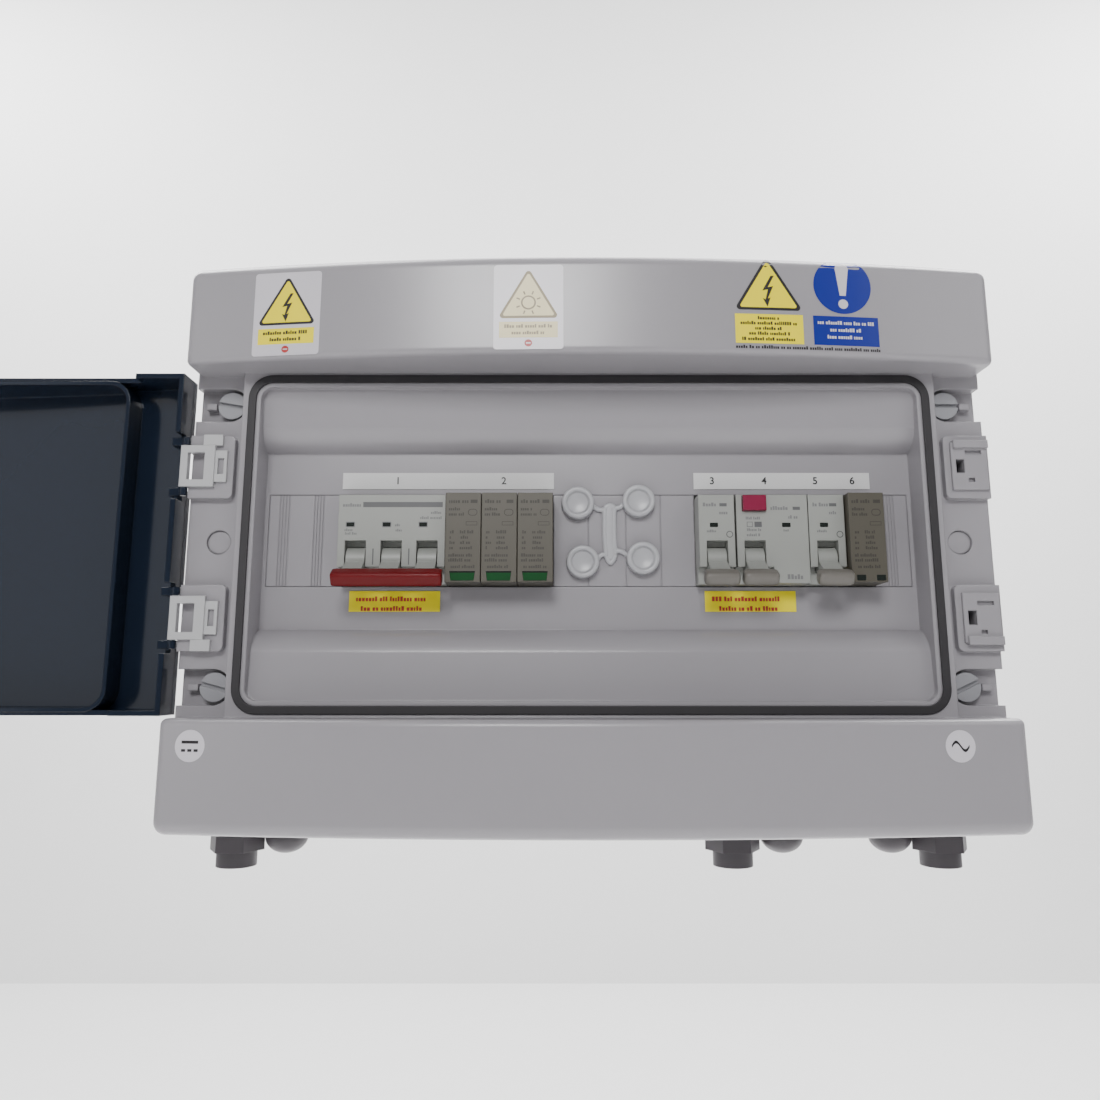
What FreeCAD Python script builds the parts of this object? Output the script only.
import FreeCAD, Part
import math
import os
import re
import Sketcher
from FreeCAD import Placement, Rotation, Vector

# Wall box of a solar combiner: rear shell, bowed front cover with a device slot, swung-open door,
# devices on a rail, hinges, seals, screws, glands.
# Frame: X right, Z up, Y into the wall. Y = 0 is the wall, so a distance in front of the wall,
# called a reach here, lies at Y = -reach. The origin is the centre of the four wall holes.

doc = FreeCAD.newDocument("combiner_box")

SIZES = {
    # case
    "case_width": 398.0, "case_height": 272.0, "wall": 2.6, "back_wall": 3.0, "corner_radius": 6.0,
    "shell_depth": 86.0, "joint_gap": 1.2, "side_reach": 122.0, "bow": 15.7,
    # middle band of the cover, where the door closes
    "band_height": 170.0, "band_rise": 0.5, "band_reach": 102.0, "rim_reach": 108.5,
    "hood_edge": 3.0,
    "seal_width": 341.0, "seal_height": 167.0, "seal_thick": 3.8, "seal_radius": 12.0,
    "seal_depth": 3.0, "seal_proud": 1.0, "rim_land": 3.0, "inner_land": 2.2,
    # recessed plate with the device slot
    "plate_reach": 92.0, "plate_height": 90.0, "step_height": 112.0, "step_reach": 103.0,
    "lip_reach": 105.0, "tray_corner": 6.0, "slot_width": 325.0, "slot_height": 47.0,
    "slot_rise": 2.5,
    # wall fixing and cover screws
    "fixing_width": 330.0, "fixing_height": 200.0, "fixing_radius": 3.2,
    "screw_width": 363.0, "screw_height": 141.0, "screw_head_radius": 7.0, "screw_head_rise": 6.0,
    "screw_shank_radius": 3.0, "screw_shank_length": 40.0, "screw_gap": 0.3, "pocket_reach": 95.0,
    "pocket_margin": 1.6, "pillar_margin": 3.2,
    # pads that carry the hinge brackets and the latch keepers
    "pad_rise": 37.5, "pad_height": 32.0, "pad_width": 22.0, "pad_reach": 106.0,
    "dimple_radius": 6.0, "dimple_depth": 1.8, "dimple_inset": 15.5, "dimple_cap": 0.6,
    # hinge
    "hinge_out": 0.1, "pin_lift": 0.5, "pin_radius": 1.4, "pin_gap": 0.05,
    "bracket_height": 21.0, "bracket_bar": 3.6, "knuckle_height": 4.0, "knuckle_radius": 2.0,
    "knuckle_gap": 0.3, "bracket_depth": 13.0, "foot_length": 6.0, "foot_height": 16.0,
    "foot_thick": 1.6, "window_depth": 3.4, "window_width": 8.0, "tab_width": 9.5, "tab_thick": 2.0,
    # door
    "door_gap": 0.75, "door_inset": 0.0, "door_back_reach": 110.5, "skirt_reach": 103.0,
    "door_wall": 2.5, "door_rib": 2.0, "open_angle": 180.0, "latch_inset": 16.0,
    "hook_thick": 2.5, "hook_half": 2.6, "catch_gap": 0.8, "keeper_half": 12.0, "ledge": 4.0,
    # rail and devices
    "rail_reach": 45.0, "rail_height": 35.0, "rail_depth": 7.5, "rail_thick": 1.0,
    "rail_length": 340.0, "rail_crown": 25.0, "rail_post_radius": 7.0, "rail_post_x": 158.0,
    "rail_screw_radius": 2.1, "rail_screw_head": 4.0, "rail_screw_length": 14.0,
    "module": 17.6, "device_gap": 0.5, "dc_left": -124.0, "ac_left": 54.0,
    "device_height": 85.0, "shoulder_reach": 88.0, "nose_reach": 105.0, "nose_top": 21.0,
    "nose_bottom": 23.0, "low_nose_reach": 99.0, "ledge_drop": 2.0, "arrester_reach": 110.0,
    "cartridge_back": 62.0, "cartridge_gap": 0.2,
    # toggles
    "pivot_reach": 98.5, "pivot_drop": 11.0, "drum_radius": 6.2, "drum_gap": 0.3,
    "lever_side": 4.1, "lever_thick": 4.4, "grip_start": 15.0, "grip_length": 7.6,
    "grip_thick": 7.2, "grip_gap": 0.6, "toggle_rest": 33.0, "post_half": 3.6,
    "button_width": 11.4, "button_height": 7.6, "button_rise": 16.6,
    "button_reach": 107.5, "button_back": 92.0,
    # terminals
    "terminal_radius": 3.0, "terminal_rise": 34.0, "terminal_depth": 10.0,
    "bar_length": 60.0, "bar_side": 9.0, "bar_reach": 24.0, "bar_drop": 98.0, "bar_gap": 8.0,
    "bar_pitch": 8.0, "bar_screw_radius": 2.2,
    # loose screw covers and blank strips
    "cap_radius": 8.4, "cap_recess": 5.2, "cap_thick": 5.0, "cap_span_x": 31.0, "cap_span_z": 30.0,
    "cap_centre_x": 11.0, "cap_centre_z": 4.5, "cap_tilt": -2.5,
    "blank_gap": 0.2, "blank_lip": 1.4, "score_step": 1.5, "score_width": 0.5, "score_depth": 0.4,
    # glands and plugs in the bottom wall
    "gland_reach": 64.0, "gland_inset": 21.0, "gland_pitch": 25.0, "gland_middle_x": 73.0,
    "thread_radius": 9.8, "thread_length": 10.0, "hex_flats": 24.0, "hex_rise": 7.0,
    "cap_nut_length": 16.0, "cable_radius": 7.0, "neck_radius": 9.0, "plug_radius": 10.6,
    "plug_drop": 9.0, "plug_dome": 8.0, "nut_thick": 4.5, "nut_flats": 26.0,
    # stickers
    "sticker": 0.3, "strip_rise": 26.5, "strip_height": 8.5, "tag_width": 45.5, "tag_height": 10.3,
    "tag_drop": 25.7, "label_width": 33.5, "label_height": 42.0, "label_base": 2.0,
    "left_label_x": -147.6, "middle_label_x": -29.8, "sign_x": 85.6, "disc_x": 122.6,
    "panel_height": 15.0, "panel_rise": 5.5, "disc_radius": 14.8, "disc_rise": 36.5,
    "mark_radius": 7.1, "mark_drop": 96.4, "left_mark_x": -182.3, "right_mark_x": 165.0,
}

PLACES = {
    "half_width": "case_width / 2",
    "half_height": "case_height / 2",
    "cover_back": "shell_depth + joint_gap",
    "bow_radius": "(case_width * case_width / 4 + bow * bow) / (2 * bow)",
    "bow_centre": "bow_radius - side_reach - bow",
    "front_reach": "side_reach + bow",
    "band_top": "band_rise + band_height / 2",
    "band_bottom": "band_rise - band_height / 2",
    "hinge_x": "half_width + knuckle_radius + hinge_out",
    "hinge_reach": "pad_reach + pin_lift",
    "tray_half": "seal_width / 2 - seal_thick - inner_land",
    "tray_half_z": "seal_height / 2 - seal_thick - inner_land",
    "skirt_inner": "seal_width / 2 + rim_land + 1",
    "latch_x": "door_half - latch_inset",
    "door_half": "half_width - door_inset",
    "door_height": "band_height - 2 * door_gap",
    "rib_half": "seal_width / 2 - seal_thick / 2",
    "rib_half_z": "seal_height / 2 - seal_thick / 2",
    "screw_x": "screw_width / 2",
    "screw_z": "screw_height / 2",
    "pocket_half": "screw_head_radius + pocket_margin",
    "head_reach": "pocket_reach + screw_gap / 3",
    "dc_arrester_left": "dc_left + 3 * module + device_gap",
    "dc_right": "dc_arrester_left + 3 * module",
    "residual_left": "ac_left + module + 2 * device_gap",
    "second_left": "residual_left + 2 * module + device_gap",
    "ac_arrester_left": "second_left + module + device_gap",
    "ac_right": "ac_arrester_left + module",
    "pivot_z": "slot_rise - pivot_drop",
    "lever_width": "module - 2 * lever_side",
    "grip_width": "module - grip_gap",
    "bar_width": "3 * module",
    "gland_x": "half_width - gland_inset",
    "blank_reach": "plate_reach - wall",
}

sheet = doc.addObject("Spreadsheet::Sheet", "sizes")
for row, (alias, number) in enumerate(SIZES.items(), start=1):
    sheet.set(f"A{row}", "'" + alias)
    sheet.set(f"B{row}", str(number))
    sheet.setAlias(f"B{row}", alias)
doc.recompute()

WORD = re.compile(r"[a-z][a-z_0-9]*")
NODES = []


def bound(formula):
    """The formula with each size written as a cell of the sheet and each place written out."""
    def swap(match):
        word = match.group(0)
        if word in PLACES:
            return "(" + bound(PLACES[word]) + ")"
        return "sizes." + word if word in SIZES else word
    return WORD.sub(swap, str(formula))


def number(formula):
    return float(sheet.evalExpression(bound(formula)))


def tie(thing, field, formula):
    thing.setExpression(field, bound(formula))


def place(thing, x, reach, z):
    tie(thing, "Placement.Base.x", x)
    tie(thing, "Placement.Base.y", f"-({reach})")
    tie(thing, "Placement.Base.z", z)
    return thing


# ---- solids: spans are (low, high) pairs, and the second span is the reach from the wall ----

def box(name, xs, reaches, zs):
    block = doc.addObject("Part::Box", name)
    for field, (low, high) in zip(("Length", "Width", "Height"), (xs, reaches, zs)):
        tie(block, field, f"({high}) - ({low})")
    return place(block, xs[0], reaches[1], zs[0])


def rod(name, along, radius, span, first, second):
    """Cylinder along X (at reach, z), along Y (at x, z) or along Z (at x, reach)."""
    bar = doc.addObject("Part::Cylinder", name)
    tie(bar, "Radius", radius)
    tie(bar, "Height", f"({span[1]}) - ({span[0]})")
    if along == "X":
        bar.Placement = Placement(Vector(), Rotation(Vector(0, 1, 0), 90))
        return place(bar, span[0], first, second)
    if along == "Y":
        bar.Placement = Placement(Vector(), Rotation(Vector(1, 0, 0), -90))
        return place(bar, first, span[1], second)
    return place(bar, first, second, span[0])


def hexagon(name, flats, span):
    """Six-sided prism about the Z axis, given across its flats."""
    prism = doc.addObject("Part::Prism", name)
    prism.Polygon = 6
    tie(prism, "Circumradius", f"({flats}) / sqrt(3)")
    tie(prism, "Height", f"({span[1]}) - ({span[0]})")
    return place(prism, 0, 0, span[0])


def fuse(name, *parts):
    joined = doc.addObject("Part::MultiFuse", name)
    joined.Shapes = list(parts)
    joined.Refine = True
    return joined


def cut(name, base, *tools):
    carved = doc.addObject("Part::Cut", name)
    carved.Base = base
    carved.Tool = tools[0] if len(tools) == 1 else fuse(name + "_tools", *tools)
    carved.Refine = True
    return carved


def common(name, first, second):
    shared = doc.addObject("Part::Common", name)
    shared.Base = first
    shared.Tool = second
    return shared


def group(name, *parts):
    """Separate solids that share one node."""
    bundle = doc.addObject("Part::Compound", name)
    bundle.Links = list(parts)
    return bundle


def node(thing, label):
    thing.Label = label
    if thing.Label != label:
        raise ValueError(f"{label} is taken")
    NODES.append(thing)
    return thing


# ---- bodies: sketches, pads and pockets ----

def sketch(body, name, role, offset, *outlines, circles=()):
    """Closed outlines of (x, y) corners; a third entry is the radius of the arc to the next corner,
    which bulges to the right of the walk, or to the left when the radius is negative."""
    plane = next(f for f in body.Origin.OriginFeatures if f.Role == role)
    drawing = body.newObject("Sketcher::SketchObject", name)
    drawing.AttachmentSupport = [(plane, "")]
    drawing.MapMode = "FlatFace"
    tie(drawing, "AttachmentOffset.Base.z", offset)
    for outline in outlines:
        draw_outline(drawing, outline)
    for x, y, radius in circles:
        draw_circle(drawing, x, y, radius)
    return drawing


def arc_between(start, stop, radius):
    """Arc that bulges to the right of the walk from start to stop, or to the left if negative."""
    chord = stop - start
    left = Vector(-chord.y, chord.x, 0).normalize() * (1 if radius > 0 else -1)
    centre = (start + stop) / 2 + left * (radius * radius - chord.Length ** 2 / 4) ** 0.5
    low, high = (start, stop) if radius > 0 else (stop, start)
    angles = [math.atan2(end.y - centre.y, end.x - centre.x) for end in (low, high)]
    circle = Part.Circle(centre, Vector(0, 0, 1), abs(radius))
    return Part.ArcOfCircle(circle, angles[0], angles[1])


def draw_outline(drawing, outline):
    first = drawing.GeometryCount
    count = len(outline)
    ends = [Vector(number(corner[0]), number(corner[1]), 0) for corner in outline]
    for index, corner in enumerate(outline):
        start = ends[index]
        stop = ends[(index + 1) % count]
        if len(corner) == 2:
            drawing.addGeometry(Part.LineSegment(start, stop), False)
            continue
        drawing.addGeometry(arc_between(start, stop, number(corner[2])), False)
    starts = []
    for index, corner in enumerate(outline):
        edge = drawing.Geometry[first + index]
        forward = (edge.StartPoint - ends[index]).Length < 1e-6
        starts.append(1 if forward else 2)
    for index, corner in enumerate(outline):
        following = (index + 1) % count
        drawing.addConstraint(Sketcher.Constraint(
            "Coincident", first + index, 3 - starts[index], first + following, starts[following]))
    for index, corner in enumerate(outline):
        for kind, formula in zip(("DistanceX", "DistanceY"), corner):
            rule = Sketcher.Constraint(kind, -1, 1, first + index, starts[index], number(formula))
            tie(drawing, f"Constraints[{drawing.addConstraint(rule)}]", formula)
        if len(corner) == 3:
            rule = Sketcher.Constraint("Radius", first + index, abs(number(corner[2])))
            formula = corner[2].lstrip("-")
            tie(drawing, f"Constraints[{drawing.addConstraint(rule)}]", formula)


def draw_circle(drawing, x, y, radius):
    centre = Vector(number(x), number(y), 0)
    ring = drawing.addGeometry(Part.Circle(centre, Vector(0, 0, 1), number(radius)), False)
    rules = (("DistanceX", (-1, 1, ring, 3), x), ("DistanceY", (-1, 1, ring, 3), y),
             ("Radius", (ring,), radius))
    for kind, picks, formula in rules:
        rule = Sketcher.Constraint(kind, *picks, number(formula))
        tie(drawing, f"Constraints[{drawing.addConstraint(rule)}]", formula)


def rectangle(low_x, high_x, low_y, high_y):
    return [(low_x, low_y), (high_x, low_y), (high_x, high_y), (low_x, high_y)]


def rounded(half_x, half_y, rise, radius):
    """Rectangle about (0, rise) with round corners."""
    right, top = f"({half_x})", f"({rise}) + ({half_y})"
    bottom = f"({rise}) - ({half_y})"
    near = f"{right} - ({radius})"
    return [(f"-({near})", bottom), (near, bottom, radius), (right, f"{bottom} + ({radius})"),
            (right, f"{top} - ({radius})", radius), (near, top), (f"-({near})", top, radius),
            (f"-{right}", f"{top} - ({radius})"), (f"-{right}", f"{bottom} + ({radius})", radius)]


def feature(body, kind, name, drawing, length, symmetric=False, backwards=False):
    """Pad or pocket. A pocket that removes nothing, or a pad that adds nothing, is refused."""
    doc.recompute()
    before = body.Shape.Volume if body.Tip else 0.0
    step = body.newObject("PartDesign::" + kind, name)
    step.Profile = drawing
    tie(step, "Length", length)
    if symmetric:
        step.SideType = "Symmetric"
    step.Reversed = backwards
    doc.recompute()
    change = body.Shape.Volume - before
    if change * (1 if kind == "Pad" else -1) <= 0:
        raise ValueError(f"{name} changes nothing")
    return step


def round_edges(body, name, radius, wanted):
    """Fillet of every edge of the body's tip for which wanted(edge) holds."""
    base = body.Tip
    picked = [f"Edge{i}" for i, edge in enumerate(base.Shape.Edges, start=1) if wanted(edge)]
    fillet = body.newObject("PartDesign::Fillet", name)
    fillet.Base = (base, picked)
    tie(fillet, "Radius", radius)
    doc.recompute()
    return fillet


def four(x, z):
    return [(sx + x, sz + z) for sx in ("", "-") for sz in ("", "-")]


# ---- rear shell ----

def rear_shell():
    body = doc.addObject("PartDesign::Body", "rear_shell")
    wide = ("-half_width", "half_width", "-half_height", "half_height")
    block = sketch(body, "shell_outline", "XZ_Plane", 0, rectangle(*wide))
    feature(body, "Pad", "shell_block", block, "shell_depth")
    rim = number("shell_depth")
    round_edges(body, "shell_corners", "corner_radius",
                lambda edge: any(v.Y > -rim + 1 for v in edge.Vertexes))
    inner = rounded("half_width - wall", "half_height - wall", 0, "corner_radius - wall")
    hollow = sketch(body, "shell_hollow", "XZ_Plane", "shell_depth", inner)
    feature(body, "Pocket", "shell_cavity", hollow, "shell_depth - back_wall")
    posts = sketch(body, "shell_posts", "XZ_Plane", "back_wall / 2",
                   circles=[(x, z, "screw_shank_radius + pillar_margin + 1")
                            for x, z in four("screw_x", "screw_z")])
    feature(body, "Pad", "shell_pillars", posts, "shell_depth - back_wall / 2")
    seats = sketch(body, "rail_seats", "XZ_Plane", "back_wall / 2",
                   circles=[(s + "rail_post_x", "slot_rise", "rail_post_radius") for s in ("-", "")])
    feature(body, "Pad", "rail_posts", seats, "rail_reach - rail_depth - back_wall / 2")
    seat_bores = sketch(body, "rail_bores", "XZ_Plane", "rail_reach - rail_depth",
                        circles=[(s + "rail_post_x", "slot_rise", "rail_screw_radius")
                                 for s in ("-", "")])
    feature(body, "Pocket", "rail_screw_holes", seat_bores, "rail_screw_length + 2")
    bores = sketch(body, "shell_bores", "XZ_Plane", "shell_depth",
                   circles=[(x, z, "screw_shank_radius + screw_gap")
                            for x, z in four("screw_x", "screw_z")])
    feature(body, "Pocket", "screw_bores", bores, "screw_shank_length")
    fixings = sketch(body, "fixing_circles", "XZ_Plane", "back_wall",
                     circles=[(x, z, "fixing_radius")
                              for x, z in four("fixing_width / 2", "fixing_height / 2")])
    feature(body, "Pocket", "fixing_holes", fixings, "back_wall")
    entries = sketch(body, "entry_circles", "XY_Plane", "-half_height + wall",
                     circles=[(x, "-gland_reach", "thread_radius + 0.2") for x in ENTRIES])
    feature(body, "Pocket", "entry_holes", entries, "wall")
    return node(body, "rear_shell")


GLANDS = ("-gland_x", "gland_middle_x", "gland_x")
PLUGS = ("-gland_x + gland_pitch", "gland_middle_x + gland_pitch", "gland_x - gland_pitch")
ENTRIES = GLANDS + PLUGS


# ---- front cover ----

def bowed(half, back, inset):
    """Plan outline from a flat back to the bowed front; inset moves the bow inwards."""
    side = f"bow_centre - sqrt((bow_radius - ({inset})) ^ 2 - ({half}) ^ 2)"
    return [(f"-({half})", f"-({back})"), (f"-({half})", side, f"bow_radius - ({inset})"),
            (half, side), (half, f"-({back})")]


def tray_profile(shift, height, step, lip, outer):
    """Side view of the recess: flat plate, curved step, sloped outer zone and open front."""
    plate = f"-(plate_reach - ({shift}))"
    half, knee = f"({height}) / 2", f"({step}) / 2"
    arc = "(step_height - plate_height) / 2 * 1.4"
    return [(plate, f"slot_rise - {half}"), (plate, f"slot_rise + {half}", "-" + arc),
            (f"-(step_reach - ({shift}))", f"slot_rise + {knee}"),
            (f"-({lip})", f"band_rise + {outer}"), ("-front_reach", f"band_rise + {outer}"),
            ("-front_reach", f"band_rise - {outer}"), (f"-({lip})", f"band_rise - {outer}"),
            (f"-(step_reach - ({shift}))", f"slot_rise - {knee}", "-" + arc)]


def front_cover():
    body = doc.addObject("PartDesign::Body", "front_cover")
    back = -number("cover_back")
    plan = sketch(body, "cover_plan", "XY_Plane", 0, bowed("half_width", "cover_back", 0))
    feature(body, "Pad", "cover_block", plan, "case_height", symmetric=True)
    round_edges(body, "cover_corners", "corner_radius",
                lambda edge: any(v.Y < back - 1 for v in edge.Vertexes))
    band = sketch(body, "band_profile", "YZ_Plane", 0,
                  rectangle("-front_reach - 1", "-band_reach", "band_bottom", "band_top"))
    feature(body, "Pocket", "band_cut", band, "case_width + 2", symmetric=True)
    levels = [number("band_top"), number("band_bottom")]
    ahead = -number("band_reach") - 1
    round_edges(body, "hood_edges", "hood_edge",
                lambda edge: all(min(abs(v.Z - level) for level in levels) < 1e-3
                                 for v in edge.Vertexes)
                and min(v.Y for v in edge.Vertexes) < ahead)
    rim = sketch(body, "rim_outline", "XZ_Plane", "band_reach - wall",
                 rectangle("-seal_width / 2 - rim_land", "seal_width / 2 + rim_land",
                           "band_bottom - 1", "band_top + 1"))
    feature(body, "Pad", "rim_block", rim, "rim_reach - band_reach + wall")
    pads = sketch(body, "pad_outlines", "XZ_Plane", "band_reach - wall",
                  *[rectangle(f"{s} - pad_width / 2", f"{s} + pad_width / 2",
                              f"{r}pad_rise - pad_height / 2", f"{r}pad_rise + pad_height / 2")
                    for s in ("-(half_width - pad_width / 2)", "(half_width - pad_width / 2)")
                    for r in ("-", "")])
    feature(body, "Pad", "pads", pads, "pad_reach - band_reach + wall")
    edge_x = number("half_width")
    front = -number("pad_reach")
    round_edges(body, "pad_corners", "pad_width / 8",
                lambda edge: len(edge.Vertexes) == 2
                and abs(abs(edge.Vertexes[0].Z - edge.Vertexes[1].Z)) < 1e-6
                and abs(edge.Vertexes[0].X - edge.Vertexes[1].X) < 1e-6
                and abs(abs(edge.Vertexes[0].X) - edge_x + number("pad_width")) < 1e-3
                and min(v.Y for v in edge.Vertexes) < front + 1e-3)
    tray = sketch(body, "tray_section", "YZ_Plane", 0,
                  tray_profile(0, "plate_height", "step_height", "lip_reach",
                               "tray_half_z"))
    feature(body, "Pocket", "tray", tray, "2 * tray_half", symmetric=True)
    corners = sketch(body, "tray_corner_outlines", "XZ_Plane", "step_reach",
                     *[tray_corner(s, r) for s in ("", "-") for r in ("", "-")])
    feature(body, "Pad", "tray_corners", corners, "rim_reach - step_reach")
    groove = sketch(body, "seal_groove_loops", "XZ_Plane", "rim_reach", *seal_loops())
    feature(body, "Pocket", "seal_groove", groove, "seal_depth")
    hollow = sketch(body, "tray_back", "YZ_Plane", 0,
                    [("-cover_back", "band_bottom - wall"), ("-cover_back", "band_top + wall"),
                     ("-(step_reach - wall)", "band_top + wall"),
                     ("-(step_reach - wall)", "slot_rise + step_height / 2 + wall"),
                     ("-(plate_reach - wall)", "slot_rise + step_height / 2 - wall"),
                     ("-(plate_reach - wall)", "slot_rise - step_height / 2 + wall"),
                     ("-(step_reach - wall)", "slot_rise - step_height / 2 - wall"),
                     ("-(step_reach - wall)", "band_bottom - wall")])
    feature(body, "Pocket", "band_cavity", hollow, "2 * tray_half", symmetric=True)
    sides = sketch(body, "side_hollows", "XZ_Plane", "cover_back",
                   *[rectangle(low, high, "-half_height + wall", "half_height - wall")
                     for low, high in (("-half_width + wall", "-tray_half - wall"),
                                       ("tray_half + wall", "half_width - wall"))])
    feature(body, "Pocket", "side_cavities", sides, "band_reach - wall - cover_back",
            backwards=True)
    hood_depths = (("upper", "band_top + wall", "half_height - wall - band_top - wall", True),
                   ("lower", "band_bottom - wall", "half_height - wall + band_bottom - wall", False))
    for name, start, length, backwards in hood_depths:
        plan = sketch(body, name + "_hood_plan", "XY_Plane", start,
                      bowed("half_width - wall", "cover_back", "wall"))
        feature(body, "Pocket", name + "_hood_cavity", plan, length, backwards=backwards)
    pillars = sketch(body, "cover_posts", "XZ_Plane", "cover_back",
                     *[rectangle(f"{s}", f"{t}", f"{r}screw_z - pocket_half - wall",
                                 f"{r}screw_z + pocket_half + wall")
                       for s, t in (("-half_width + wall / 2", "-screw_x + pocket_half + 1"),
                                    ("screw_x - pocket_half - 1", "half_width - wall / 2"))
                       for r in ("-", "")])
    feature(body, "Pad", "cover_pillars", pillars, "band_reach - cover_back - wall / 2")
    pockets = sketch(body, "pocket_outlines", "XZ_Plane", "band_reach",
                     *[screw_pocket(s, r) for s in ("-", "") for r in ("-", "")])
    feature(body, "Pocket", "screw_pockets", pockets, "band_reach - pocket_reach")
    bores = sketch(body, "cover_bores", "XZ_Plane", "pocket_reach",
                   circles=[(x, z, "screw_shank_radius + screw_gap")
                            for x, z in four("screw_x", "screw_z")])
    feature(body, "Pocket", "cover_screw_bores", bores, "pocket_reach - cover_back")
    ribs = sketch(body, "pointer_ribs", "XZ_Plane", "pocket_reach - 0.5",
                  *[rectangle(f"{s}", f"{t}", f"{r}screw_z - 1.6", f"{r}screw_z + 1.6")
                    for s, t in (("-screw_x - pocket_half - 5", "-screw_x - pocket_half + 0.3"),
                                 ("screw_x + pocket_half - 0.3", "screw_x + pocket_half + 5"))
                    for r in ("-", "")])
    feature(body, "Pad", "pointers", ribs, 5)
    dimples = sketch(body, "dimple_circles", "XZ_Plane", "band_reach",
                     circles=[(s + "(half_width - dimple_inset)", "0", "dimple_radius")
                              for s in ("-", "")])
    feature(body, "Pocket", "dimples", dimples, "dimple_depth")
    catches = sketch(body, "catch_outlines", "XZ_Plane", "pad_reach",
                     *[rectangle("latch_x - catch_gap", "latch_x + hook_thick + catch_gap",
                                 f"{r}pad_rise - hook_half - catch_gap",
                                 f"{r}pad_rise + hook_half + catch_gap") for r in ("-", "")])
    feature(body, "Pocket", "catch_slots", catches, "pad_reach - band_reach + wall + 1")
    windows = sketch(body, "pad_windows", "XZ_Plane", "pad_reach",
                     *[rectangle("-half_width - 1", "-half_width + window_width",
                                 f"{r}pad_rise - bracket_height / 2 + bracket_bar",
                                 f"{r}pad_rise + bracket_height / 2 - bracket_bar")
                       for r in ("-", "")])
    feature(body, "Pocket", "pad_window_recesses", windows, "window_depth")
    slot = sketch(body, "slot_outline", "XZ_Plane", "plate_reach",
                  rectangle("-slot_width / 2", "slot_width / 2",
                            "slot_rise - slot_height / 2", "slot_rise + slot_height / 2"))
    feature(body, "Pocket", "device_slot", slot, "wall")
    return node(body, "front_cover")


def tray_corner(side, rise):
    """Infill that gives the recess a round corner inside the seal."""
    x, z = "tray_half", "tray_half_z"
    ends = ((f"{x} - tray_corner", z), (x, f"{z} - tray_corner"), (f"{x} + 0.8", f"{z} - tray_corner"),
            (f"{x} + 0.8", f"{z} + 0.8"), (f"{x} - tray_corner", f"{z} + 0.8"))
    outline = [(f"{side}({across})", f"band_rise + {rise}({up})") for across, up in ends]
    outline[0] += ("-tray_corner" if side == rise else "tray_corner",)
    return outline


def screw_pocket(side, rise):
    """Round-ended recess about a cover screw, open at the side of the cover."""
    inner = f"{side}screw_x"
    outer = f"{side}(half_width + 1)"
    low, high = f"{rise}screw_z - pocket_half", f"{rise}screw_z + pocket_half"
    radius = "pocket_half * 1.001"
    if side:
        return [(outer, low), (inner, low, radius), (inner, high), (outer, high)]
    return [(inner, high, radius), (inner, low), (outer, low), (outer, high)]


def seal_loops():
    inner = "seal_height / 2 - seal_thick"
    return (rounded("seal_width / 2", "seal_height / 2", "band_rise", "seal_radius"),
            rounded("seal_width / 2 - seal_thick", inner, "band_rise", "seal_radius - seal_thick"))


def seals():
    body = doc.addObject("PartDesign::Body", "door_seal")
    loops = sketch(body, "door_seal_loops", "XZ_Plane", "rim_reach - seal_depth", *seal_loops())
    feature(body, "Pad", "door_seal_ring", loops, "seal_depth + seal_proud")
    node(body, "door_seal")
    body = doc.addObject("PartDesign::Body", "cover_seal")
    loops = sketch(body, "cover_seal_loops", "XZ_Plane", "shell_depth",
                   rounded("half_width - 0.4", "half_height - 0.4", 0, "corner_radius"),
                   rounded("half_width - wall", "half_height - wall", 0, "corner_radius - wall"))
    feature(body, "Pad", "cover_seal_ring", loops, "joint_gap")
    node(body, "cover_seal")


# ---- door, drawn shut and turned open about its pins ----

def door_shell():
    body = doc.addObject("PartDesign::Body", "door_panel")
    plan = sketch(body, "door_plan", "XY_Plane", "band_rise",
                  bowed("door_half", "skirt_reach", 0))
    feature(body, "Pad", "door_block", plan, "door_height", symmetric=True)
    back = -number("skirt_reach")
    round_edges(body, "door_edges", "door_wall * 0.8",
                lambda edge: all(v.Y < back - 1 for v in edge.Vertexes))
    hollow = sketch(body, "door_hollow", "XY_Plane", "band_rise",
                    bowed("door_half - door_wall", "skirt_reach", "door_wall"))
    feature(body, "Pocket", "door_cavity", hollow, "door_height - 2 * door_wall", symmetric=True)
    reaches = ("skirt_reach - 1", "door_back_reach")
    notches = [box("rim_notch", ("-skirt_inner", "skirt_inner"), reaches,
                   ("band_bottom - 1", "band_top + 1"))]
    for side, xs in (("left", ("-half_width - 1", "-skirt_inner")),
                     ("right", ("skirt_inner", "half_width + 1"))):
        for end, rise in (("upper", ""), ("lower", "-")):
            notches.append(box(f"{end}_{side}_pad_notch", xs, reaches,
                               (f"{rise}pad_rise - pad_height / 2 - 1",
                                f"{rise}pad_rise + pad_height / 2 + 1")))
    return cut("door_skirted", body, *notches)


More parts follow.
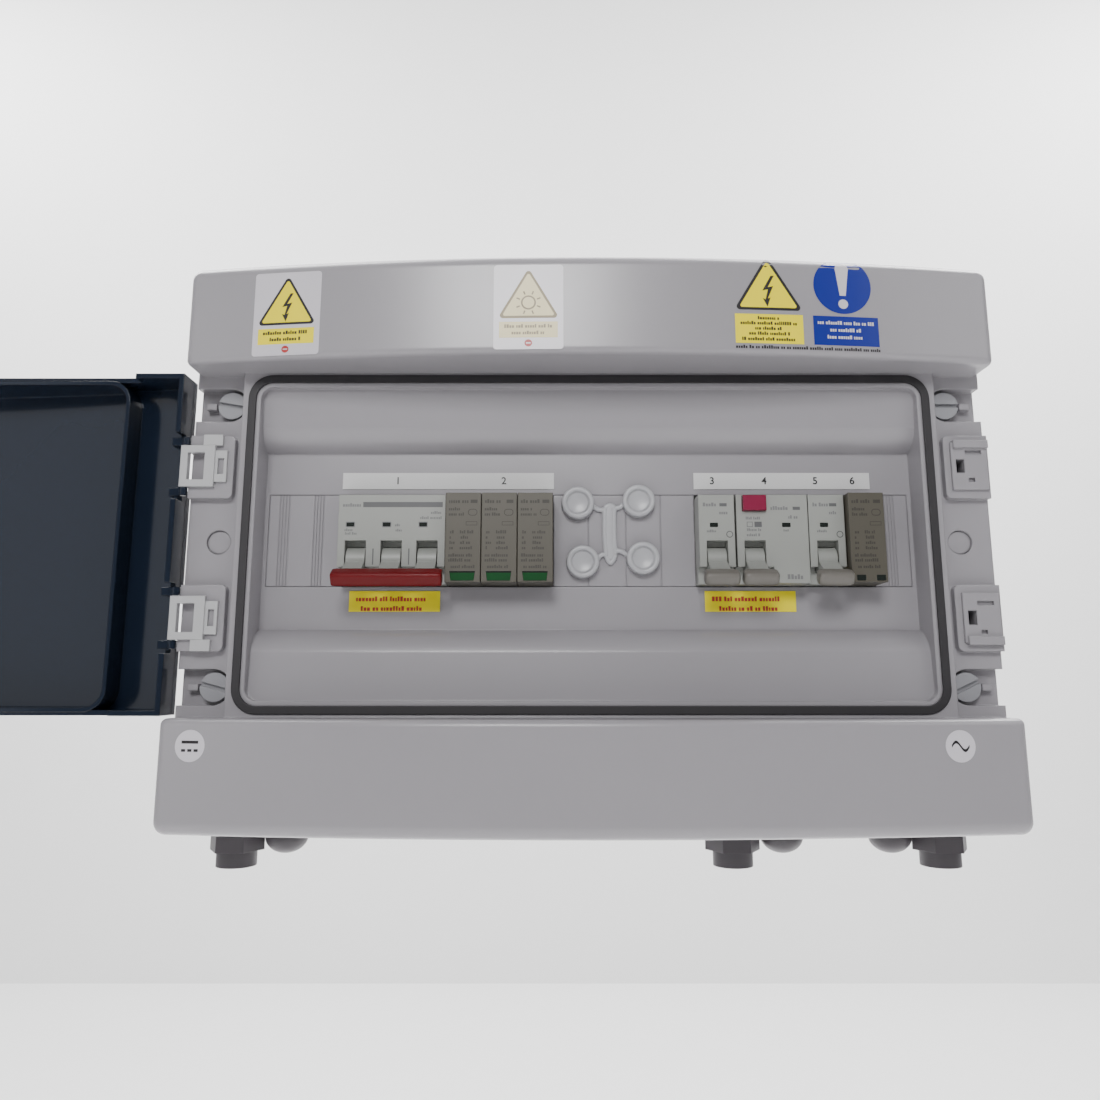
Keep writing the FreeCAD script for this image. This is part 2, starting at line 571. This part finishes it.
def door_rib():
    """Ring that presses on the seal, trimmed to end inside the bowed panel."""
    body = doc.addObject("PartDesign::Body", "door_rib_ring")
    loops = sketch(body, "door_rib_loops", "XZ_Plane", "rim_reach + seal_proud + 0.2",
                   rounded("rib_half + door_rib / 2", "rib_half_z + door_rib / 2", "band_rise",
                           "seal_radius - 1"),
                   rounded("rib_half - door_rib / 2", "rib_half_z - door_rib / 2", "band_rise",
                           "seal_radius - 1 - door_rib"))
    feature(body, "Pad", "door_rib_pad", loops, "front_reach - rim_reach - seal_proud - 0.2")
    side = "bow_centre - sqrt((bow_radius - door_wall / 2) ^ 2 - half_width ^ 2)"
    outside = sketch(body, "door_rib_trim", "XY_Plane", "band_rise",
                     [("-half_width", "-front_reach - 20"), ("half_width", "-front_reach - 20"),
                      ("half_width", side, "-(bow_radius - door_wall / 2)"), ("-half_width", side)])
    feature(body, "Pocket", "door_rib_cut", outside, "band_height", symmetric=True)
    return body


def knuckle(name, low, high):
    """Lug that reaches from the door's rim to the pin."""
    reaches = ("hinge_reach", "hinge_reach + knuckle_radius")
    arm = box(name + "_arm", ("-hinge_x", "-door_half + door_wall / 2"), reaches, (low, high))
    root = box(name + "_root", ("-door_half", "-door_half + 2 * door_wall"),
               ("hinge_reach", "side_reach - 2"), (low, high))
    eye = rod(name + "_eye", "Z", "knuckle_radius", (low, high), "-hinge_x", "hinge_reach")
    return [arm, root, eye]


def door():
    parts = [door_shell(), door_rib()]
    gap = "(bracket_height / 2 + knuckle_gap)"
    ends = (("upper", ""), ("lower", "-"))
    for end, rise in ends:
        parts += knuckle(end + "_high_knuckle", f"{rise}pad_rise + {gap}",
                         f"{rise}pad_rise + {gap} + knuckle_height")
        parts += knuckle(end + "_low_knuckle", f"{rise}pad_rise - {gap} - knuckle_height",
                         f"{rise}pad_rise - {gap}")
        parts.append(box(end + "_hook", ("latch_x", "latch_x + hook_thick"),
                         ("pad_reach - 2", "side_reach"),
                         (f"{rise}pad_rise - hook_half", f"{rise}pad_rise + hook_half")))
    bore = rod("pin_bore", "Z", "pin_radius", ("band_bottom", "band_top"),
               "-hinge_x", "hinge_reach")
    notches = [box(end + "_notch", ("-door_half - 1", "-door_half + door_wall + 1.5"),
                   ("door_back_reach - 1", "front_reach"),
                   (f"{rise}pad_rise - bracket_height / 2", f"{rise}pad_rise + bracket_height / 2"))
               for end, rise in ends]
    whole = cut("door", fuse("door_parts", *parts), bore, *notches)
    whole.Placement = Placement(Vector(), Rotation(Vector(0, 0, 1), number("open_angle")))
    tie(whole, "Placement.Rotation.Angle", "open_angle")
    tie(whole, "Placement.Base.x", "-hinge_x - hinge_x")
    tie(whole, "Placement.Base.y", "-hinge_reach - hinge_reach")
    return node(whole, "door")


def hinge_bracket(name, middle, tab_up):
    """Clip on the pad: outer bar round the pin, two arms, a web, a slotted foot and a tab."""
    low, high = f"{middle} - bracket_height / 2", f"{middle} + bracket_height / 2"
    front, outer = "hinge_reach + bracket_bar / 2", "-hinge_x - bracket_bar / 2"
    bar = box(name + "_bar", (outer, outer + " + bracket_bar"),
              ("hinge_reach - bracket_bar / 2", front), (low, high))
    arms = [box(name + "_top_arm", (outer, "-half_width + bracket_depth"), ("pad_reach", front),
                (f"{high} - bracket_bar", high)),
            box(name + "_bottom_arm", (outer, "-half_width + bracket_depth"), ("pad_reach", front),
                (low, f"{low} + bracket_bar"))]
    web = box(name + "_web", ("-half_width + window_width", "-half_width + bracket_depth"),
              ("pad_reach", front), (low, high))
    foot_low, foot_high = f"{middle} - foot_height / 2", f"{middle} + foot_height / 2"
    foot = box(name + "_foot", ("-half_width + window_width",
                                "-half_width + bracket_depth + foot_length"),
               ("pad_reach", "pad_reach + foot_thick"), (foot_low, foot_high))
    slot = box(name + "_foot_slot", ("-half_width + bracket_depth + foot_length / 4",
                                     "-half_width + bracket_depth + foot_length * 0.75"),
               ("pad_reach - 1", "pad_reach + foot_thick + 1"),
               (f"{middle} - foot_height / 4", f"{middle} + foot_height / 4"))
    tab_span = (high, f"{middle} + pad_height / 2") if tab_up else (f"{middle} - pad_height / 2", low)
    tab = box(name + "_tab", ("-half_width + window_width - 1",
                              "-half_width + window_width - 1 + tab_width"),
              ("pad_reach", "pad_reach + tab_thick"), tab_span)
    bore = rod(name + "_bracket_bore", "Z", "pin_radius + pin_gap", (f"{low} - 1", f"{high} + 1"),
               "-hinge_x", "hinge_reach")
    whole = fuse(name + "_bracket_parts", bar, *arms, web, foot, tab)
    return cut(name + "_hinge_bracket", whole, slot, bore)


def latch_keeper(name, middle, ledge_up):
    """Plate on the right pad with the slot for the door's hook, two smaller slots and a ledge."""
    outer = "half_width - 1"
    plate = box(name + "_keeper_plate", ("half_width - pad_width + 3", outer),
                ("pad_reach", "pad_reach + foot_thick"),
                (f"{middle} - keeper_half", f"{middle} + keeper_half"))
    span = ((f"{middle} + keeper_half - ledge + 1", f"{middle} + keeper_half + 1") if ledge_up
            else (f"{middle} - keeper_half - 1", f"{middle} - keeper_half + ledge - 1"))
    ledge = box(name + "_keeper_ledge", ("half_width - pad_width + 4", outer),
                ("pad_reach", "pad_reach + 2 * foot_thick"), span)
    reaches = ("pad_reach - 1", "pad_reach + 3 * foot_thick")
    catch = box(name + "_keeper_slot", ("latch_x - catch_gap", "latch_x + hook_thick + catch_gap"),
                reaches, (f"{middle} - hook_half - catch_gap", f"{middle} + hook_half + catch_gap"))
    long_slot = box(name + "_keeper_long_slot", ("latch_x + ledge", "half_width - ledge"), reaches,
                    (f"{middle} + keeper_half / 2", f"{middle} + keeper_half / 2 + 2"))
    short_slot = box(name + "_keeper_short_slot", ("latch_x + ledge + 1", "latch_x + 2 * ledge"),
                     reaches, (f"{middle} - keeper_half / 2 - 2", f"{middle} - keeper_half / 2"))
    return cut(name + "_latch_keeper", fuse(name + "_keeper_parts", plate, ledge),
               catch, long_slot, short_slot)


def hinges_and_keepers():
    pins = []
    for name, rise in (("upper", ""), ("lower", "-")):
        middle = f"{rise}pad_rise"
        upper = name == "upper"
        node(hinge_bracket(name, middle, upper), name + "_hinge_bracket")
        reach = "(bracket_height / 2 + knuckle_gap + knuckle_height)"
        pins.append(rod(name + "_pin", "Z", "pin_radius", (f"{middle} - {reach}", f"{middle} + {reach}"),
                        "-hinge_x", "hinge_reach"))
        node(latch_keeper(name, middle, upper), name + "_latch_keeper")
    node(group("hinge_pins", *pins), "hinge_pins")
    discs = [rod(f"dimple_disc_{i}", "Y", "dimple_radius - screw_gap",
                 ("band_reach - dimple_depth", "band_reach - dimple_depth + dimple_cap"),
                 f"{s}(half_width - dimple_inset)", "0") for i, s in enumerate(("-", ""))]
    node(group("hole_caps", *discs), "hole_caps")


def cover_screws():
    """Slotted screws, each drawn about its own axis with the head's front at reach 0."""
    tilts = {("upper", "left"): 10, ("lower", "left"): 15, ("upper", "right"): 0, ("lower", "right"): -25}
    for (rise, side), tilt in tilts.items():
        name = f"{rise}_{side}_cover_screw"
        head = rod(name + "_head", "Y", "screw_head_radius", ("-screw_head_rise", 0), 0, 0)
        shank = rod(name + "_shank", "Y", "screw_shank_radius",
                    ("-screw_head_rise - screw_shank_length + 9", "-screw_head_rise + 1"), 0, 0)
        slot = box(name + "_slot", ("-screw_head_radius - 1", "screw_head_radius + 1"),
                   ("-1.8", "1"), ("-1", "1"))
        screw = cut(name, fuse(name + "_parts", head, shank), slot)
        screw.Placement = Placement(Vector(), Rotation(Vector(0, 1, 0), tilt))
        x = "-screw_x" if side == "left" else "screw_x"
        place(screw, x, "head_reach + screw_head_rise", "screw_z" if rise == "upper" else "-screw_z")
        node(screw, name)


# ---- rail and devices ----

def rail():
    body = doc.addObject("PartDesign::Body", "din_rail")
    front, back = "-rail_reach", "-(rail_reach - rail_depth)"
    half, crown = "rail_height / 2", "rail_crown / 2"
    section = [(front, f"slot_rise - {half}"), (front + " + rail_thick", f"slot_rise - {half}"),
             (front + " + rail_thick", f"slot_rise - {crown} - rail_thick"),
             (back, f"slot_rise - {crown} - rail_thick"), (back, f"slot_rise + {crown} + rail_thick"),
             (front + " + rail_thick", f"slot_rise + {crown} + rail_thick"),
             (front + " + rail_thick", f"slot_rise + {half}"), (front, f"slot_rise + {half}"),
             (front, f"slot_rise + {crown}"), (back + " - rail_thick", f"slot_rise + {crown}"),
             (back + " - rail_thick", f"slot_rise - {crown}"), (front, f"slot_rise - {crown}")]
    profile = sketch(body, "rail_section", "YZ_Plane", 0, section)
    feature(body, "Pad", "rail_strip", profile, "rail_length", symmetric=True)
    holes = sketch(body, "rail_hole_circles", "XZ_Plane", "rail_reach - rail_depth + rail_thick",
                   circles=[(s + "rail_post_x", "slot_rise", "rail_screw_radius + screw_gap")
                            for s in ("-", "")])
    feature(body, "Pocket", "rail_holes", holes, "rail_thick")
    node(body, "din_rail")
    screws = []
    for index, s in enumerate(("-", "")):
        seat = "rail_reach - rail_depth + rail_thick"
        head = rod(f"rail_screw_head_{index}", "Y", "rail_screw_head", (seat, f"{seat} + 2.5"),
                   s + "rail_post_x", "slot_rise")
        shank = rod(f"rail_screw_shank_{index}", "Y", "rail_screw_radius",
                    (f"{seat} - rail_screw_length", f"{seat} + 1"), s + "rail_post_x", "slot_rise")
        screws.append(fuse(f"rail_screw_{index}", head, shank))
    node(group("rail_screws", *screws), "rail_screws")


def terminals(left, count):
    """Screw heads seen in the shoulders above and below the nose."""
    screws = []
    for index in range(count):
        for side in ("-", "+"):
            centre = f"{left} + module * {index + 0.5}"
            screws.append(rod(f"terminal_{len(doc.Objects)}", "Y", "terminal_radius",
                              ("shoulder_reach - terminal_depth", "shoulder_reach - 4"),
                              centre, f"slot_rise {side} terminal_rise"))
    return screws


def terminal_wells(left, count):
    return [rod(f"well_{len(doc.Objects)}", "Y", "terminal_radius",
                ("shoulder_reach - terminal_depth", "shoulder_reach + 1"),
                f"{left} + module * {index + 0.5}", f"slot_rise {side} terminal_rise")
            for index in range(count) for side in ("-", "+")]


def switch_body(name, left, modules, levers, extra=()):
    """Case of a breaker: back block, raised nose, recessed lower nose with a well for each drum."""
    right = f"{left} + module * {modules}"
    block = box(name + "_block", (left, right), ("rail_reach", "shoulder_reach"),
                ("slot_rise - device_height / 2", "slot_rise + device_height / 2"))
    high = box(name + "_nose", (left, right), ("shoulder_reach", "nose_reach"),
               ("slot_rise - ledge_drop", "slot_rise + nose_top"))
    low = box(name + "_low_nose", (left, right), ("shoulder_reach", "low_nose_reach"),
              ("slot_rise - nose_bottom", "slot_rise - ledge_drop"))
    posts = []
    for index in range(modules + 1):
        middle = f"{left} + module * {index}"
        span = (f"{middle} - post_half" if index else left,
                f"{middle} + post_half" if index < modules else right)
        posts.append(box(f"{name}_post_{index}", span, ("low_nose_reach", "nose_reach"),
                         ("slot_rise - ledge_drop - 13", "slot_rise - ledge_drop")))
    posts += [box(f"{name}_full_front_{index}",
                  (f"{left} + module * {index}", f"{left} + module * {index + 1}"),
                  ("low_nose_reach", "nose_reach"), ("slot_rise - nose_bottom", "slot_rise - ledge_drop"))
              for index in range(modules) if index not in levers]
    wells = [rod(f"{name}_drum_well_{spot}", "X", "drum_radius + drum_gap",
                 (f"{left} + module * {spot + 0.5} - lever_width / 2 - drum_gap",
                  f"{left} + module * {spot + 0.5} + lever_width / 2 + drum_gap"),
                 "pivot_reach", "pivot_z") for spot in levers]
    whole = fuse(name + "_case", block, high, low, *posts)
    node(cut(name, whole, *wells, *terminal_wells(left, modules), *extra), name)


def turned(thing, left):
    """Places a toggle, drawn about its pivot and pointing forward, at its resting tilt."""
    thing.Placement = Placement(Vector(), Rotation(Vector(1, 0, 0), number("toggle_rest")))
    tie(thing, "Placement.Rotation.Angle", "toggle_rest")
    return place(thing, left, "pivot_reach", "pivot_z")


def lever_parts(name, centre):
    drum = rod(name + "_drum", "X", "drum_radius",
               (f"{centre} - lever_width / 2", f"{centre} + lever_width / 2"), 0, 0)
    blade = box(name + "_blade", (f"{centre} - lever_width / 2", f"{centre} + lever_width / 2"),
                (0, "grip_start"), ("-lever_thick / 2", "lever_thick / 2"))
    return [drum, blade]


def toggle(name, left, spot):
    lever = fuse(name + "_lever", *lever_parts(name, "0"))
    centre = f"{left} + module * {spot + 0.5}"
    node(turned(lever, centre), name + "_lever")
    grip = box(name + "_grip_block", ("-grip_width / 2", "grip_width / 2"),
               ("grip_start", "grip_start + grip_length"), ("-grip_thick / 2", "grip_thick / 2"))
    node(turned(group(name + "_grip", grip), centre), name + "_grip")


def dc_switch():
    switch_body("dc_switch_body", "dc_left", 3, (0, 1, 2))
    parts = []
    for spot in range(3):
        parts.append(fuse(f"dc_lever_{spot}", *lever_parts(f"dc_lever_{spot}",
                                                            f"module * {spot - 1}")))
    middle = "dc_left + module * 1.5"
    node(turned(group("dc_switch_levers", *parts), middle), "dc_switch_levers")
    bar = box("dc_tie_bar_block", ("-bar_width / 2", "bar_width / 2"),
              ("grip_start", "grip_start + grip_length"), ("-grip_thick / 2", "grip_thick / 2"))
    node(turned(group("dc_switch_tie_bar", bar), middle), "dc_switch_tie_bar")


def arrester(name, left, modules, back_name):
    """Base with a pocket for each plug-in cartridge."""
    right = f"{left} + module * {modules}"
    block = box(name + "_block", (left, right), ("rail_reach", "shoulder_reach"),
                ("slot_rise - device_height / 2", "slot_rise + device_height / 2"))
    pockets = []
    for index in range(modules):
        start = f"{left} + module * {index}"
        gap = "cartridge_gap"
        zs = ("slot_rise - nose_bottom", "slot_rise + nose_top")
        pockets.append(box(f"{name}_pocket_{index}", (f"{start} + 1", f"{start} + module - 1"),
                           ("cartridge_back", "shoulder_reach + 1"),
                           (f"{zs[0]} - {gap}", f"{zs[1]} + {gap}")))
        plug = box(f"{name}_plug_{index}", (f"{start} + 1 + {gap}", f"{start} + module - 1 - {gap}"),
                   (f"cartridge_back + {gap}", "shoulder_reach + 1"), zs)
        face = box(f"{name}_face_{index}", (f"{start} + {gap}", f"{start} + module - {gap}"),
                   ("shoulder_reach + 0.2", "arrester_reach"), zs)
        label = back_name if modules == 1 else f"{back_name}_{index + 1}"
        node(fuse(label, plug, face), label)
    node(cut(name, block, *pockets, *terminal_wells(left, modules)), name)


def ac_devices():
    switch_body("output_breaker_body", "ac_left", 1, (0,))
    toggle("output_breaker", "ac_left", 0)
    spot = "residual_left + module / 2"
    well = box("test_button_well", (f"{spot} - button_width / 2 - 0.2", f"{spot} + button_width / 2 + 0.2"),
               ("button_back", "nose_reach + 1"),
               ("slot_rise + button_rise - button_height / 2 - 0.2",
                "slot_rise + button_rise + button_height / 2 + 0.2"))
    switch_body("residual_switch_body", "residual_left", 2, (0,), extra=(well,))
    toggle("residual_switch", "residual_left", 0)
    button = box("test_button", (f"{spot} - button_width / 2", f"{spot} + button_width / 2"),
                 ("button_back + 3", "button_reach"),
                 ("slot_rise + button_rise - button_height / 2",
                  "slot_rise + button_rise + button_height / 2"))
    node(button, "test_button")
    switch_body("second_breaker_body", "second_left", 1, (0,))
    toggle("second_breaker", "second_left", 0)


def blanks():
    """Strips that close the unused slot, scored where they can be snapped off by the module."""
    spans = (("left_blank", "-slot_width / 2 + blank_gap", "dc_left - blank_gap", 4,
              ("dc_left - 0.75 * module", "dc_left - 1.75 * module")),
             ("middle_blank", "dc_right + blank_gap", "ac_left - blank_gap", 1,
              ("dc_right + module", "ac_left - 2 * module", "ac_left - module")),
             ("right_blank", "ac_right + blank_gap", "slot_width / 2 - blank_gap", 4,
              ("ac_right + module / 2",)))
    for name, low, high, lines, middles in spans:
        strip = box(name + "_strip", (low, high), ("blank_reach", "blank_reach + wall"),
                    ("slot_rise - slot_height / 2 + blank_gap",
                     "slot_rise + slot_height / 2 - blank_gap"))
        lips = box(name + "_lips", (f"{low} + 3", f"{high} - 3"),
                   ("blank_reach - blank_lip", "blank_reach"),
                   ("slot_rise - slot_height / 2 - blank_lip",
                    "slot_rise + slot_height / 2 + blank_lip"))
        starts = [f"{middle} + score_step * {line - (lines - 1) / 2}"
                  for middle in middles for line in range(lines)]
        scores = [box(f"{name}_score_{index}", (start, f"{start} + score_width"),
                      ("plate_reach - score_depth", "plate_reach + 1"),
                      ("slot_rise - slot_height / 2", "slot_rise + slot_height / 2"))
                  for index, start in enumerate(starts)]
        node(cut(name, fuse(name + "_parts", strip, lips), *scores), name)


def screw_covers():
    """Set of four round covers on their moulding runner, clipped on the middle blank."""
    half_x, half_z = "cap_span_x / 2", "cap_span_z / 2"
    rounds, wells, arms = [], [], []
    for index, (sx, sz) in enumerate((("-", "-"), ("-", ""), ("", "-"), ("", ""))):
        x, z = sx + half_x, sz + half_z
        rounds.append(rod(f"cover_round_{index}", "Y", "cap_radius", (0, "cap_thick"), x, z))
        wells.append(rod(f"cover_recess_{index}", "Y", "cap_recess", ("cap_thick - 3", "cap_thick + 1"),
                         x, z))
        xs = (f"-{half_x} + cap_recess + 1", "1") if sx else ("-1", f"{half_x} - cap_recess - 1")
        arms.append(box(f"cover_arm_{index}", xs, (0, "cap_thick - 2"),
                        (f"{z} - 1.2", f"{z} + 1.2")))
    runner = box("cover_runner", ("-1.6", "1.6"), (0, "cap_thick - 2"), ("-" + half_z, half_z))
    whole = cut("screw_covers", fuse("cover_rounds", *rounds, *arms, runner), *wells)
    whole.Placement = Placement(Vector(), Rotation(Vector(0, 1, 0), number("cap_tilt")))
    place(whole, "cap_centre_x", "plate_reach", "slot_rise + cap_centre_z")
    node(whole, "screw_covers")


def terminal_bars():
    holder = box("terminal_holder", ("-bar_length - bar_gap", "bar_length + bar_gap"),
                 ("back_wall", "bar_reach - bar_side / 2"),
                 ("-bar_drop - bar_side / 2", "-bar_drop + bar_side / 2"))
    node(holder, "terminal_holder")
    screws = []
    for name, low, high in (("earth_bar", "-bar_length - bar_gap / 2", "-bar_gap / 2"),
                            ("neutral_bar", "bar_gap / 2", "bar_length + bar_gap / 2")):
        block = box(name + "_block", (low, high),
                    ("bar_reach - bar_side / 2", "bar_reach + bar_side / 2"),
                    ("-bar_drop - bar_side / 2", "-bar_drop + bar_side / 2"))
        holes = []
        for index in range(int(number("bar_length / bar_pitch"))):
            x = f"{low} + bar_pitch * {index + 0.5}"
            holes.append(rod(f"{name}_hole_{index}", "Y", "bar_screw_radius",
                             ("bar_reach - 1", "bar_reach + bar_side"), x, "-bar_drop"))
            screws.append(rod(f"{name}_screw_{index}", "Y", "bar_screw_radius",
                              ("bar_reach - 1", "bar_reach + bar_side / 2 + 1.5"), x, "-bar_drop"))
        node(cut(name, block, *holes), name)
    node(group("bar_screws", *screws), "bar_screws")


# ---- glands and blanking plugs in the bottom wall ----

def at_entry(thing, x):
    return place(thing, x, "gland_reach", "-half_height")


def gland(name, x):
    flange = hexagon(name + "_flange", "hex_flats", ("-hex_rise", "0"))
    neck = rod(name + "_neck", "Z", "neck_radius - 1", ("-hex_rise - 6", "-hex_rise"), 0, 0)
    thread = rod(name + "_thread", "Z", "thread_radius", ("0", "thread_length"), 0, 0)
    way = rod(name + "_way", "Z", "cable_radius", ("-40", "40"), 0, 0)
    body = cut(name + "_body", fuse(name + "_body_parts", flange, neck, thread), way)
    node(at_entry(body, x), name + "_body")
    skirt = hexagon(name + "_skirt", "hex_flats", ("-hex_rise - 0.4 - cap_nut_length / 2",
                                                    "-hex_rise - 0.4"))
    dome = rod(name + "_dome", "Z", "neck_radius + 1", ("-hex_rise - cap_nut_length",
                                                         "-hex_rise - cap_nut_length / 2"), 0, 0)
    hollow = rod(name + "_hollow", "Z", "neck_radius - 1", ("-hex_rise - cap_nut_length + 2", "0"), 0, 0)
    mouth = rod(name + "_mouth", "Z", "cable_radius", ("-40", "0"), 0, 0)
    cap = cut(name + "_cap", fuse(name + "_cap_parts", skirt, dome), hollow, mouth)
    node(at_entry(cap, x), name + "_cap")
    ring = cut(name + "_ring", rod(name + "_rubber", "Z", "neck_radius - 1",
                                   ("-hex_rise - cap_nut_length + 2", "-hex_rise - 6"), 0, 0),
               rod(name + "_rubber_hole", "Z", "cable_radius", ("-40", "0"), 0, 0))
    nut = cut(name + "_nut", hexagon(name + "_nut_block", "nut_flats", ("wall", "wall + nut_thick")),
              rod(name + "_nut_hole", "Z", "thread_radius", ("0", "40"), 0, 0))
    return at_entry(ring, x), at_entry(nut, x)


def blanking_plug(name, x):
    rim = rod(name + "_rim", "Z", "plug_radius", ("-plug_drop", "0"), 0, 0)
    dome = doc.addObject("Part::Ellipsoid", name + "_dome")
    tie(dome, "Radius1", "plug_dome")
    tie(dome, "Radius2", "plug_radius")
    place(dome, 0, 0, "-plug_drop")
    stem = rod(name + "_stem", "Z", "thread_radius", ("0", "thread_length"), 0, 0)
    whole = fuse(name, rim, dome, stem)
    return at_entry(whole, x)


def bottom_entries():
    rings, nuts, plugs = [], [], []
    for name, x in zip(("left_gland", "middle_gland", "right_gland"), GLANDS):
        ring, nut = gland(name, x)
        rings.append(ring)
        nuts.append(nut)
    for index, x in enumerate(PLUGS):
        plugs.append(blanking_plug(f"plug_{index}", x))
        hole = rod(f"plug_nut_hole_{index}", "Z", "thread_radius", ("0", "40"), 0, 0)
        block = rod(f"plug_nut_block_{index}", "Z", "thread_radius + 2.2",
                    ("wall", "wall + nut_thick"), 0, 0)
        nuts.append(at_entry(cut(f"plug_nut_{index}", block, hole), x))
    node(group("gland_seals", *rings), "gland_seals")
    node(group("locknuts", *nuts), "locknuts")
    node(group("blanking_plugs", *plugs), "blanking_plugs")


# ---- stickers ----

def flat_sticker(name, xs, zs):
    return box(name, xs, ("plate_reach", "plate_reach + sticker"),
               (f"slot_rise + {zs[0]}", f"slot_rise + {zs[1]}"))


def hood_skin(name):
    """Thin layer in front of the bowed hood, which each sticker is cut from."""
    heights = ("-half_height", "half_height")
    outer = rod(name + "_outer", "Z", "bow_radius + sticker", heights, "0", "-bow_centre")
    inner = rod(name + "_inner", "Z", "bow_radius", heights, "0", "-bow_centre")
    return cut(name + "_skin", outer, inner)


def triangle(name, half, low, high, reaches, x):
    """Upright three-sided prism along Y."""
    sign = doc.addObject("Part::Wedge", name)
    rules = {"Xmin": f"-{half}", "Xmax": half, "X2min": "-0.5", "X2max": "0.5", "Ymin": 0,
             "Ymax": f"({high}) - ({low})", "Zmin": 0, "Zmax": f"({reaches[1]}) - ({reaches[0]})",
             "Z2min": 0, "Z2max": f"({reaches[1]}) - ({reaches[0]})"}
    for field, formula in rules.items():
        tie(sign, field, formula)
    sign.Placement = Placement(Vector(), Rotation(Vector(1, 0, 0), 90))
    return place(sign, x, reaches[0], low)


def hood_stickers():
    reaches = ("side_reach - 20", "front_reach + 2")
    base, top = "band_top + label_base", "half_height - corner_radius"
    spread = "label_width / 2"
    areas = [box(name, (f"{x} - {spread}", f"{x} + {spread}"), reaches, (base, f"{base} + {high}"))
             for name, x, high in (("left_warning", "left_label_x", "label_height"),
                                   ("middle_warning", "middle_label_x", "label_height"))]
    areas += [box(name, (f"{x} - {spread}", f"{x} + {spread}"), reaches,
                  ("band_top + panel_rise", "band_top + panel_rise + panel_height"))
              for name, x in (("sign_panel", "sign_x"), ("disc_panel", "disc_x"))]
    areas.append(triangle("sign_area", spread, "band_top + panel_rise + panel_height + 1", top,
                          reaches, "sign_x"))
    disc = rod("disc_area", "Y", "disc_radius", reaches, "disc_x", "band_top + disc_rise")
    areas.append(common("disc_part", disc, box("disc_limit", ("sign_x", "half_width"), reaches,
                                               (base, top))))
    stuck = [common(f"warning_{index}", area, hood_skin(f"warning_{index}"))
             for index, area in enumerate(areas)]
    node(group("warning_labels", *stuck), "warning_labels")
    rounds = [common(f"mark_{side}", rod(f"mark_area_{side}", "Y", "mark_radius", reaches,
                                         f"{side}_mark_x", "-mark_drop"), hood_skin(f"mark_{side}"))
              for side in ("left", "right")]
    node(group("side_labels", *rounds), "side_labels")


def stickers():
    heights = ("strip_rise", "strip_rise + strip_height")
    strips = [flat_sticker("dc_strip", ("dc_left - 1.5", "dc_right + 0.4"), heights),
              flat_sticker("ac_strip", ("ac_left", "ac_right"), heights)]
    node(group("designation_strips", *strips), "designation_strips")
    heights = ("-tag_drop - tag_height", "-tag_drop")
    tags = [flat_sticker(name, (f"{left} + 4", f"{left} + 4 + tag_width"), heights)
            for name, left in (("dc_tag", "dc_left"), ("ac_tag", "ac_left"))]
    node(group("isolation_labels", *tags), "isolation_labels")
    hood_stickers()


rear_shell()
front_cover()
seals()
door()
hinges_and_keepers()
cover_screws()
rail()
dc_switch()
arrester("dc_arrester_base", "dc_arrester_left", 3, "dc_cartridge")
ac_devices()
arrester("ac_arrester_base", "ac_arrester_left", 1, "ac_cartridge")
screws = terminals("dc_left", 3) + terminals("dc_arrester_left", 3)
node(group("dc_terminal_screws", *screws), "dc_terminal_screws")
screws = terminals("ac_left", 1) + terminals("residual_left", 2)
screws += terminals("second_left", 1) + terminals("ac_arrester_left", 1)
node(group("ac_terminal_screws", *screws), "ac_terminal_screws")
blanks()
screw_covers()
terminal_bars()
bottom_entries()
stickers()

doc.recompute()
os.makedirs("parts", exist_ok=True)
for thing in doc.Objects:
    if {"Invalid", "Error"} & set(thing.State):
        raise ValueError(f"{thing.Label} failed: {thing.State}")
for thing in NODES:
    if thing.Shape.isNull() or not thing.Shape.isValid():
        raise ValueError(f"{thing.Label} has no valid shape")
    thing.Shape.exportStep(f"parts/{thing.Label}.step")
    print(thing.Label, len(thing.Shape.Solids), round(thing.Shape.Volume))
